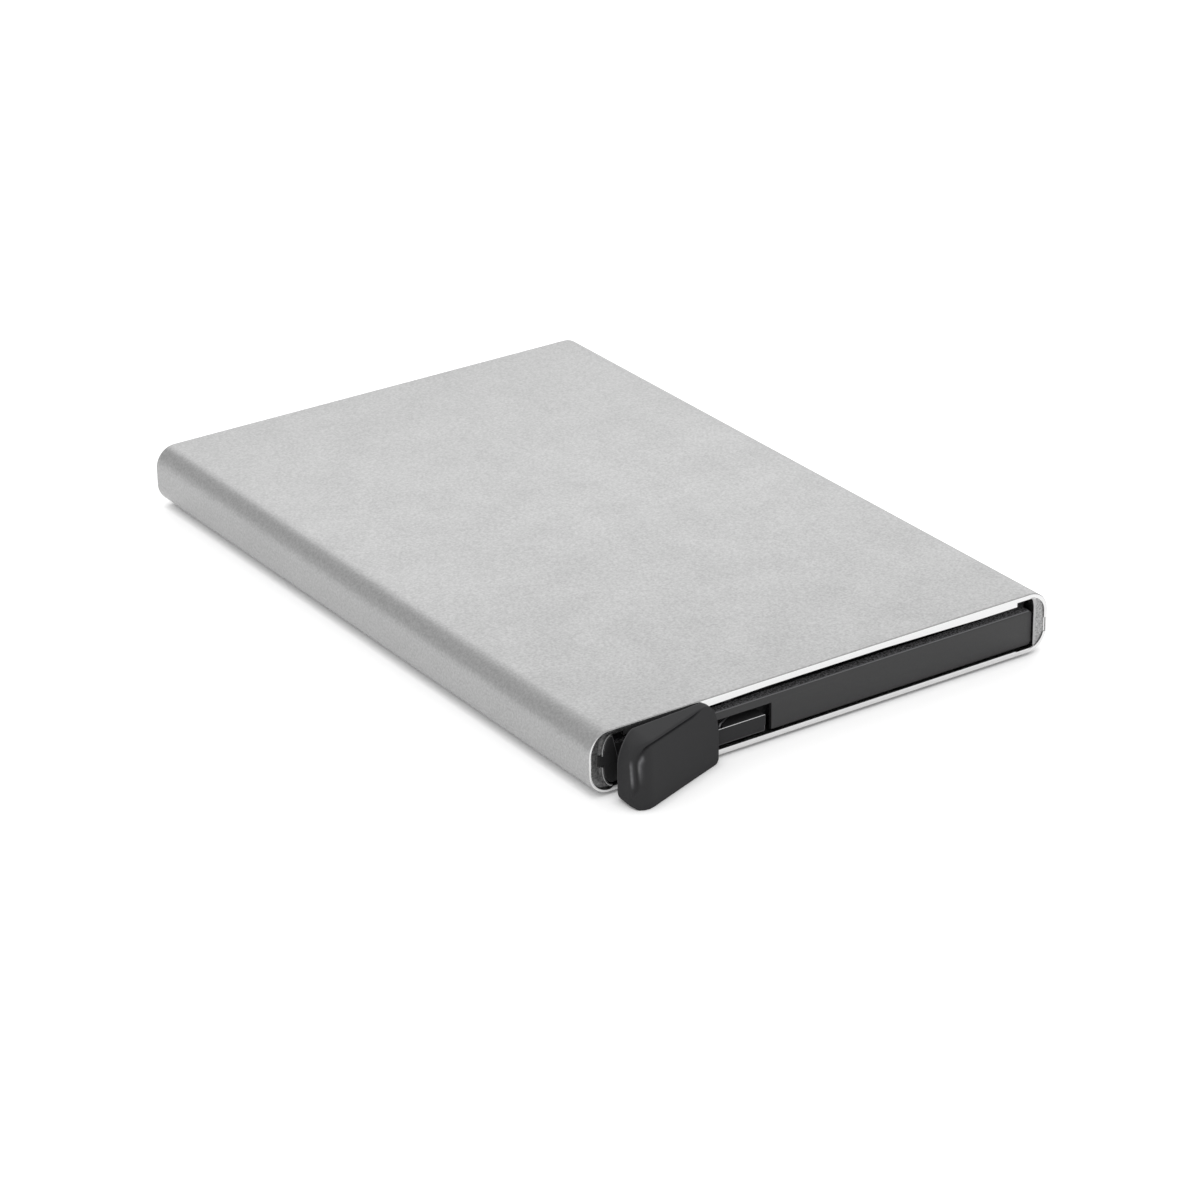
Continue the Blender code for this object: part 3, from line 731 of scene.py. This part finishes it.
def head_front_outline():
    """The front facet's outline, measured along the plan and up."""
    stretch = 1 / math.cos(head_slant)
    right = corner_length + (head_right - head_plan(corner_length)[0].x) * stretch
    high_radii = (top_right_radii[0] * stretch, facet_top - head_high + top_right_radii[1])
    corner = (facet_left + facet_corner_radii[0], facet_top - facet_corner_radii[1])
    shoulder = arc(corner, facet_corner_radii, QUARTER_TURN, 2 * QUARTER_TURN, shoulder_steps)
    return head_outline(shoulder, facet_foot_left, right, facet_top, high_radii)


def outward_steps(points):
    """A unit step out of a counterclockwise outline at each of its points."""
    steps = []
    for index, point in enumerate(points):
        along = (Vector(points[(index + 1) % len(points)]) - Vector(points[index - 1])).normalized()
        steps.append(Vector((along.y, -along.x)))
    return steps


def ease(value):
    """Turns a rise from 0 to 1 into a soft one, level at both ends."""
    value = min(max(value, 0.0), 1.0)
    return value * value * (3 - 2 * value)


def mix(low, high, share):
    """A value between two, by a share."""
    return low + (high - low) * share


def fade(value, heights):
    """Rises from the first height to the second, and falls from the third to the last."""
    rise = ease((value - heights[0]) / (heights[1] - heights[0]))
    return rise * (1 - ease((value - heights[2]) / (heights[3] - heights[2])))


def closed_rings(name, rings):
    """A closed body from rings of points, with a flat face at each end."""
    count = len(rings[0])
    work = bmesh.new()
    loops = [[work.verts.new(point) for point in ring] for ring in rings]
    work.faces.new(loops[0])
    for near, far in zip(loops, loops[1:]):
        for index in range(count):
            after = (index + 1) % count
            work.faces.new((near[index], near[after], far[after], far[index]))
    work.faces.new(list(reversed(loops[-1])))
    bmesh.ops.recalc_face_normals(work, faces=work.faces)
    return finish_piece(name, work)


def build_head():
    """Rings from the head's back to its front facet, which a soft groove sets off.

    Also gives the rings' points with how much painted highlight each carries.
    """
    back, front = head_back_outline(), head_front_outline()
    back_out, front_out = outward_steps(back), outward_steps(front)
    count = len(back)
    facet_right = max(point[0] for point in front)
    leftness, thinness, grooved, outer_highlight, inner_highlight = [], [], [], [], []
    for (along, up), out in zip(front, front_out):
        leftness.append(ease(-out.x * left_gain))
        thinness.append(ease((along - facet_right + thin_length) / thin_length))
        from_right = ease((facet_right - top_right_radii[0] - along) / groove_run_out)
        from_foot = ease((up - head_low - groove_foot[0]) / groove_foot[1])
        grooved.append(from_right * from_foot * ease(max(out.y, -out.x) * groove_gain))
        outer_highlight.append(fade(up, outer_highlight_heights) * ease(-out.x * highlight_gain))
        inner_highlight.append(fade(up, inner_highlight_heights) * ease(-out.x * highlight_gain))
    rings, ring_highlights = [], []
    for step, highlight_share in enumerate(back_highlights):
        angle = QUARTER_TURN * step / (len(back_highlights) - 1)
        ring = []
        ring_highlights.append([highlight_share * mix(0.5, 1.0, share) for share in leftness])
        for index in range(count):
            radius = mix(back_rounds[1], back_rounds[0], leftness[index])
            radius = mix(radius, back_rounds[2], thinness[index])
            place = Vector(back[index]) - back_out[index] * radius * (1 - math.sin(angle))
            rise = radius * (1 - math.cos(angle))
            ring.append(Vector((place.x, back_of_head(place.x) - rise, place.y)))
        rings.append(ring)
    start_ring = rings[-1]

    def facet_point(index, inset, depth):
        """A point on the front, inset from the facet's outline and sunk below its face."""
        along, up = Vector(front[index]) - front_out[index] * inset
        plan, outward = head_plan(along)
        plan -= outward * depth
        return Vector((plan.x, plan.y, up))

    # across the edge: how far inwards, and how deep, with a groove at the top, with one at the
    # side, and without one
    top_groove = ((0, 0.32), (0.04, 0.18), (0.1, 0.09), (0.17, 0.07), (0.23, 0.2), (0.29, 0.48))
    top_groove += ((0.36, 0.48), (0.42, 0.18), (0.47, 0.04), (0.56, 0.01), (0.68, 0), (0.8, 0))
    side_groove = ((0, 0.02), (0.12, 0), (0.24, 0), (0.36, 0.03), (0.52, 0.12), (0.68, 0.25))
    side_groove += ((0.83, 0.32), (0.98, 0.24), (1.12, 0.1), (1.25, 0.03), (1.4, 0), (1.6, 0))
    turns = [QUARTER_TURN * step / plain_round_steps for step in range(plain_round_steps + 1)]
    without = [(1 - math.cos(turn), 1 - math.sin(turn)) for turn in turns]
    without += [(1.15, 0), (1.3, 0), (1.5, 0), (1.8, 0)]
    edge_rings, edge_highlights = [], []
    profiles = zip(top_groove, side_groove, without, outer_highlights, inner_highlights)
    for top_cut, side_cut, plain, outer, inner in profiles:
        ring, insets = [], []
        edge_highlights.append([max(outer * a, inner * b) for a, b in zip(outer_highlight, inner_highlight)])
        for index in range(count):
            radius = mix(front_rounds[0], front_rounds[1], thinness[index])
            inset, sunk = (
                mix(even * radius, mix(top, side, leftness[index]) * MM, grooved[index])
                for even, top, side in zip(plain, top_cut, side_cut)
            )
            insets.append(inset)
            ring.append(facet_point(index, inset, sunk))
        edge_rings.append(ring)
    for step in range(1, side_rings):
        share = step / side_rings
        ring = []
        for index in range(count):
            first, last = start_ring[index], edge_rings[0][index]
            straight = first.lerp(last, share)
            begin = corner_centre[1] - first.y
            plan = head_plan(mix(begin, front[index][0], share))[0]
            offset_start = first - Vector((*head_plan(begin)[0], first.z))
            offset_end = last - Vector((*head_plan(front[index][0])[0], last.z))
            bent = Vector((*plan, mix(first.z, last.z, share)))
            bent += offset_start.lerp(offset_end, share)
            ring.append(straight.lerp(bent, leftness[index]))
        rings.append(ring)
        ring_highlights.append([0.0] * count)
    rings += edge_rings
    ring_highlights += edge_highlights
    centre = Vector((mix(facet_left, facet_right, 0.5), (head_low + head_high) / 2))
    for step in range(1, facet_rings):
        ring = []
        for index in range(count):
            edge = Vector(front[index]) - front_out[index] * insets[index]
            along, up = edge.lerp(centre, step / facet_rings)
            plan = head_plan(along)[0]
            ring.append(Vector((plan.x, plan.y, up)))
        rings.append(ring)
        ring_highlights.append([0.0] * count)
    highlight_points = [pair for ring, painted_highlight in zip(rings, ring_highlights) for pair in zip(ring, painted_highlight)]
    return closed_rings("thumb_head", rings), highlight_points


def neck_outline():
    """The neck from above: a wide tongue through the window that narrows into the hub."""
    root = head_right - head_root
    return [
        (neck_right, neck_front),
        (neck_right, pivot[1]),
        (pivot[0], pivot[1] + hub_radius / 3),
        (pivot[0] - hub_radius, pivot[1] + hub_radius / 4),
        (neck_left, neck_front + lip_thickness),
        (neck_left, back_of_head(neck_left) - head_root_depth),
        (root, back_of_head(root) - head_root_depth),
        (root, neck_front),
    ]


def arm_outline(number):
    """One step of the arm, with a round tip and a straight edge towards the cards."""
    back = arm_back - number * arm_draft
    front = arm_front + number * arm_draft
    root = pivot[0] + arm_root + number * arm_draft
    tip = arm_tip - number * arm_step
    radii = (arm_tip_radius, arm_tip_radius)
    tip_centre = (tip, back - arm_tip_radius)
    round_tip = arc(tip_centre, radii, -QUARTER_TURN, QUARTER_TURN, 24)
    return [(root, front), *round_tip, (root, back)]


lever = plate_in_plan("lever_moulding", neck_outline(), neck_underside, neck_top, lever_edge, 2)
# the hub's ends stay clear of the neck's faces
hub_ends = (neck_underside - hub_steps[0], neck_top - hub_steps[1])
lever = join(lever, rod("hub", pivot, hub_radius, hub_ends[0], hub_ends[1], 64))
lip_ends = (neck_front, neck_front + lip_thickness)
lip_heights = (neck_low, neck_top - lever_edge)
lip = block("neck_lip", (neck_left, neck_right), lip_ends, lip_heights, lip_edge)
lever = join(lever, lip)
layer = (arm_heights[1] - arm_heights[0]) / arm_count
for number in range(arm_count):
    bottom = arm_heights[0] + number * arm_draft / arm_count
    top = arm_heights[0] + (number + 1) * layer
    step_plate = plate_in_plan("arm_step", arm_outline(number), bottom, top, arm_edge)
    lever = join(lever, step_plate)
head, highlight_points = build_head()
lever = join(lever, head)
low, high = neck_underside - overrun, neck_top + overrun
lever = cut(lever, rod("lever_bore", pivot, pin_hole_radius, low, high))
hook_place = (pivot[0] + hook_offset[0], pivot[1] + hook_offset[1])
hook_floor = neck_top - hook_hole_depth
hook_hole = rod("hook_hole", hook_place, hook_hole_radius, hook_floor, high, 24)
lever = cut(lever, hook_hole)
smooth(lever, 35)

# how much painted highlight each point of the finished lever carries, from the head's point at the
# same place
same_place = 0.02 * MM
nearest = kdtree.KDTree(len(highlight_points))
for index, (place, _) in enumerate(highlight_points):
    nearest.insert(place, index)
nearest.balance()
painted_highlight = lever.data.attributes.new("painted_highlight", "FLOAT", "POINT")
for vertex, item in zip(lever.data.vertices, painted_highlight.data):
    _, index, distance = nearest.find(vertex.co)
    item.value = highlight_points[index][1] if distance < same_place else 0.0


def calculate(tree, operation, first, second):
    """Works out one shading value from two others."""
    made = add_node(tree, "ShaderNodeMath", {"operation": operation}, {0: first, 1: second})
    return made.outputs["Value"]


# Glass-filled plastic, a matt black.  A painted highlight, paler in patches, lies along the head's
# back edge and beside the groove, where its edges catch the light.
nylon = moulded_plastic("nylon_black_glass_filled", "#3D3D3E", 0.54, 0.18 * MM, 0.003 * MM, 0.03)
tree = nylon.node_tree
painted_highlight = add_node(tree, "ShaderNodeAttribute", {"attribute_name": "painted_highlight"})
patches = grain_texture(tree, 0.5 * MM)
unevenness = spread(tree, patches, 0.6, 1.0)
patchy = calculate(tree, "MULTIPLY", painted_highlight.outputs["Fac"], unevenness)
blend_tones(tree, "#3D3D3E", "#828284", patchy)
lever.data.materials.append(nylon)
# The neck's front edges carry a faint painted highlight, a little paler and smoother.
lever.data.materials.append(moulded_plastic("nylon_black_painted_edge_highlight", "#59595B", 0.36))
# The lip's upper edge carries a painted highlight, a bright line.
lever.data.materials.append(moulded_plastic("nylon_black_painted_lip_highlight", "#F0F0F1", 0.25))
turned_up = 0.3
# the lip's upper front edge gets the bright painted highlight, and its other front edges the
# fainter one
for face in lever.data.polygons:
    behind_head = face.center.y > back_of_head(face.center.x)
    if on_slope(face) and behind_head and face.center.y < neck_front + edge_zone:
        face.material_index = 2 if face.normal.z > turned_up else 1
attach(lever, "lever")
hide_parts("trigger_lever")

# Pivot pin
# A bright drawn steel pin.  The lever's hub turns on it, and its ends sit in the deck and in
# the cover, where a small chamfer catches the light.

pin_radius = 0.8 * MM
pin_ends = mm(0.95, 5.95)
pin_chamfer = 0.12 * MM
pin = rod("steel_pin", pivot, pin_radius, pin_ends[0], pin_ends[1], 48, pin_chamfer)
smooth(pin, 40)
# Drawn steel: bright and cold, with fine lines along the pin.
steel, tree, shader = new_material("steel_bright_drawn", "#CFCFD2", 0.24, Metallic=1.0)
draw_lines = grain_texture(tree, 0.08 * MM, stretch=(1.0, 1.0, 30.0))
vary_roughness(tree, shader, draw_lines, 0.18, 0.3)
add_bump(tree, shader, draw_lines, 0.001 * MM, 0.4)
pin.data.materials.append(steel)
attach(pin, "case")
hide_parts("pivot_pin")

# Return spring
# Oil-tempered spring wire, wound round the pin.  Its lower end hooks into a hole in the lever's
# neck, and its upper tail lies against the post under the deck.

wire_radius = 0.175 * MM
coil_radius = 1.45 * MM
coil_pitch = 0.76 * MM
coil_turns = 2
coil_clearance = 0.15 * MM
coil_bottom = neck_top + coil_clearance + wire_radius
coil_steps = 90
bend_steps = 6
hook_depth = 0.9 * MM
hook_bend = 0.3 * MM
tail_offset = mm(-6.0, 2.6)


def tangent_angle(offset, side):
    """Where a straight wire from a point offset from the pivot meets the coil."""
    turn = math.acos(coil_radius / math.hypot(*offset))
    return math.atan2(offset[1], offset[0]) + side * turn


def spring_points():
    """The wire's path: up out of the hook, round the pin, and straight out to the tail."""
    start = tangent_angle(hook_offset, 1)
    end = tangent_angle(tail_offset, -1)
    while end < start:
        end += 4 * QUARTER_TURN
    end += 4 * QUARTER_TURN * coil_turns
    rise = coil_pitch * (end - start) / (4 * QUARTER_TURN)
    ahead = (math.cos(start + QUARTER_TURN), math.sin(start + QUARTER_TURN))
    points = [(*hook_place, neck_top - hook_depth)]
    for step in range(bend_steps + 1):
        angle = QUARTER_TURN * step / bend_steps
        along = hook_bend * (1 - math.cos(angle))
        up = hook_bend * math.sin(angle)
        x, y = hook_place[0] + along * ahead[0], hook_place[1] + along * ahead[1]
        points.append((x, y, coil_bottom - hook_bend + up))
    for step in range(coil_steps + 1):
        share = step / coil_steps
        angle = start + (end - start) * share
        x = pivot[0] + coil_radius * math.cos(angle)
        y = pivot[1] + coil_radius * math.sin(angle)
        points.append((x, y, coil_bottom + rise * share))
    points.append((pivot[0] + tail_offset[0], pivot[1] + tail_offset[1], coil_bottom + rise))
    return points


wire = bpy.data.curves.new("torsion_spring", "CURVE")
wire.dimensions = "3D"
wire.bevel_depth = wire_radius
wire.bevel_resolution = 4
wire.use_fill_caps = True
draw_through(wire, spring_points(), False)
spring = smooth(bake_modifiers(add_piece("torsion_spring", wire)), 50)
# Tempering has left the wire dark grey, and its oil gives it a soft sheen.
spring_steel, tree, shader = new_material("spring_wire_oiled", "#6E6E70", 0.3, Metallic=1.0)
vary_roughness(tree, shader, grain_texture(tree, 0.1 * MM), 0.24, 0.36)
spring.data.materials.append(spring_steel)
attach(spring, "case")
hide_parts("return_spring")

# Side rails
# Two black ABS strips that slide into the sleeve's side channels, held by a rib in the groove.
# They guide the cards' long edges.

rail_inner = 28.0 * MM
rail_outer = 30.5 * MM
rail_heights = mm(1.2, 6.2)
rail_chamfer = 1.0 * MM
rail_rib_tip = 30.9 * MM
rail_rib_height = 1.0 * MM
rail_ends = mm(-38.1, 46.7)
rail_edge = 0.1 * MM


def rail_outline(side):
    """A rail's section, with chamfered outer corners and the rib in its middle."""
    rib = about_middle(rail_rib_height)
    outline = [
        (rail_inner, rail_heights[0]),
        (rail_outer - rail_chamfer, rail_heights[0]),
        (rail_outer, rail_heights[0] + rail_chamfer),
        (rail_outer, rib[0]),
        (rail_rib_tip, rib[0]),
        (rail_rib_tip, rib[1]),
        (rail_outer, rib[1]),
        (rail_outer, rail_heights[1] - rail_chamfer),
        (rail_outer - rail_chamfer, rail_heights[1]),
        (rail_inner, rail_heights[1]),
    ]
    return [(side * across, up) for across, up in outline]


# Plain black moulded plastic, duller than the frame's.
rail_plastic = moulded_plastic("abs_black_rail", "#1F1F20", 0.55)
for name, side in (("left", -1), ("right", 1)):
    outline = rail_outline(side)
    rail = bar_along_y(f"guide_rail_{name}", outline, rail_ends[0], rail_ends[1], rail_edge)
    smooth(rail, 30)
    rail.data.materials.append(rail_plastic)
    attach(rail, "case")
    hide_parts(f"side_rail_{name}")

# Felt strips
# Black needled felt, glued to the rails.  Its short pile grips the cards' edges, so that they
# don't slide out by themselves.

felt_inner = 27.0 * MM
felt_outer = 27.8 * MM
felt_heights = mm(2.0, 5.4)
felt_ends = mm(-36.9, 45.5)
felt_cell = 0.35 * MM
pile_height = 0.12 * MM
lump_share = 0.45
broad_lump_share = 0.6
broad_lump = 2.7 * felt_cell
glue_zone = 0.05 * MM

# Needled felt: matt black, with short fibres whose tips catch a little light.
values = {"Sheen_Weight": 0.4, "Sheen_Roughness": 0.5}
felt, tree, shader = new_material("felt_black_needled", "#1B1B1D", 0.95, **values)
fibres = grain_texture(tree, 0.12 * MM, stretch=(1.0, 3.0, 1.0), detail=4.0)
blend_tones(tree, "#141415", "#2A2A2C", fibres.outputs["Fac"])
add_bump(tree, shader, fibres, 0.03 * MM)


def felt_bar(name, side):
    """A strip with a lumpy napped face, from a fine grid of points."""
    ends = sorted((side * (felt_inner + pile_height), side * felt_outer))
    low = (ends[0], felt_ends[0] + pile_height, felt_heights[0] + pile_height)
    high = (ends[1], felt_ends[1] - pile_height, felt_heights[1] - pile_height)
    size = [b - a for a, b in zip(low, high)]
    middle = [(a + b) / 2 for a, b in zip(low, high)]
    work = bmesh.new()
    counts = [max(2, round(length / felt_cell)) for length in size]
    bmesh.ops.create_cube(work, size=1)
    for axis, count in enumerate(counts):
        for number in range(1, count):
            place = Vector((0, 0, 0))
            place[axis] = number / count - 0.5
            normal = Vector((0, 0, 0))
            normal[axis] = 1
            geometry = work.verts[:] + work.edges[:] + work.faces[:]
            bmesh.ops.bisect_plane(work, geom=geometry, plane_co=place, plane_no=normal)
    for vert in work.verts:
        vert.co = [m + s * c for m, s, c in zip(middle, size, vert.co)]
    work.normal_update()
    for vert in work.verts:
        if side * vert.co.x > felt_outer - glue_zone:
            continue
        lump = noise.noise(vert.co / felt_cell)
        lump += broad_lump_share * noise.noise(vert.co / broad_lump)
        vert.co += vert.normal * pile_height * lump_share * max(min(lump, 1.0), -1.0)
    return finish_piece(name, work)


for name, side in (("left", -1), ("right", 1)):
    strip = smooth(felt_bar(f"felt_pad_{name}", side), 80)
    strip.data.materials.append(felt)
    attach(strip, "case")
    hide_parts(f"felt_strip_{name}")

# Studio
# A white table under a large soft box behind the holder, with even light from all round.
# The background is plain white, and the table keeps only the holder's contact shadow.

floor_height = -0.32 * MM
floor_reach = 3000.0 * MM
floor_thickness = 10 * MM
glow_share = 0.43
contact_reach = 1.2 * MM
ambient_level = 0.76

floor_sides = (-floor_reach, floor_reach)
floor_heights = (floor_height - floor_thickness, floor_height)
floor = block("table", floor_sides, floor_sides, floor_heights)
# Matt white board.  A glow that only the camera and reflections see lifts it to plain white.
table_white, tree, shader = new_material("table_white_matt", "#F0F0F0", 0.9)
ray = add_node(tree, "ShaderNodeLightPath")
seen = calculate(tree, "MAXIMUM", ray.outputs["Is Camera Ray"], ray.outputs["Is Glossy Ray"])
# the glow fades where the holder all but touches the table, so that the contact line stays dark
settings = {"Distance": contact_reach, "samples": 8}
open_sky = add_node(tree, "ShaderNodeAmbientOcclusion", settings)
settings = {"operation": "MULTIPLY", 1: glow_share}
share = add_node(tree, "ShaderNodeMath", settings, {0: open_sky.outputs["AO"]})
lift = calculate(tree, "MULTIPLY", seen, share.outputs["Value"])
settings = {"Color": (1.0, 1.0, 1.0, 1.0)}
glow = add_node(tree, "ShaderNodeEmission", settings, {"Strength": lift})
both = add_node(
    tree, "ShaderNodeAddShader", None, {0: shader.outputs["BSDF"], 1: glow.outputs["Emission"]}
)
tree.links.new(both.outputs["Shader"], tree.nodes["Material Output"].inputs["Surface"])
floor.data.materials.append(table_white)

# Even light from all round, which the camera sees as plain white.
world = bpy.data.worlds.new("white_studio")
world.use_nodes = True
bpy.context.scene.world = world
tree = world.node_tree
background = tree.nodes["Background"]
ray = add_node(tree, "ShaderNodeLightPath")
settings = {"To Min": ambient_level, "To Max": 1.0}
level = add_node(tree, "ShaderNodeMapRange", settings, {"Value": ray.outputs["Is Camera Ray"]})
tree.links.new(level.outputs["Result"], background.inputs["Strength"])
background.inputs["Color"].default_value = (1.0, 1.0, 1.0, 1.0)


def soft_box(name, direction, distance, width, height, power):
    """A rectangular soft light that faces the holder from a direction."""
    lamp = bpy.data.lights.new(name, "AREA")
    lamp.shape = "RECTANGLE"
    lamp.size = width
    lamp.size_y = height
    lamp.energy = power
    holder = bpy.data.objects.new(name, lamp)
    towards = Vector(direction).normalized()
    holder.location = towards * distance
    holder.rotation_euler = towards.to_track_quat("Z", "Y").to_euler()
    bpy.context.scene.collection.objects.link(holder)
    return holder


# sizes in metres and power in watts
soft_box("back_soft_box", (0.56, 0.73, 0.53), distance=2.4, width=2.5, height=1.9, power=15.0)
soft_box("top_soft_box", (-0.25, -0.2, 1.0), distance=1.2, width=0.9, height=0.9, power=1.5)

# Camera
# It stands half a metre away, about 34 degrees to the left of the lever's end and 25 degrees
# up, and is fitted to the sleeve's corners and edges in the photograph.

azimuth = math.radians(-33.8552)
elevation = math.radians(25.4401)
roll = math.radians(-0.8238)
camera_distance = 501.059 * MM
camera_shift = mm(1.8352, -6.6196)
focal_length = 126.846
film_width = 36.0

turn = Matrix.Rotation(azimuth, 4, "Z") @ Matrix.Rotation(QUARTER_TURN - elevation, 4, "X")
turn @= Matrix.Rotation(roll, 4, "Z")
aim = Matrix.Translation((0, 0, middle_height))
camera_data = bpy.data.cameras.new("camera")
camera_data.sensor_width = film_width
camera_data.lens = focal_length
camera_data.clip_start = 0.01
camera = bpy.data.objects.new("camera", camera_data)
camera.matrix_world = aim @ turn @ Matrix.Translation((*camera_shift, camera_distance))
bpy.context.scene.collection.objects.link(camera)
bpy.context.scene.camera = camera
bpy.context.scene.view_settings.view_transform = "Standard"
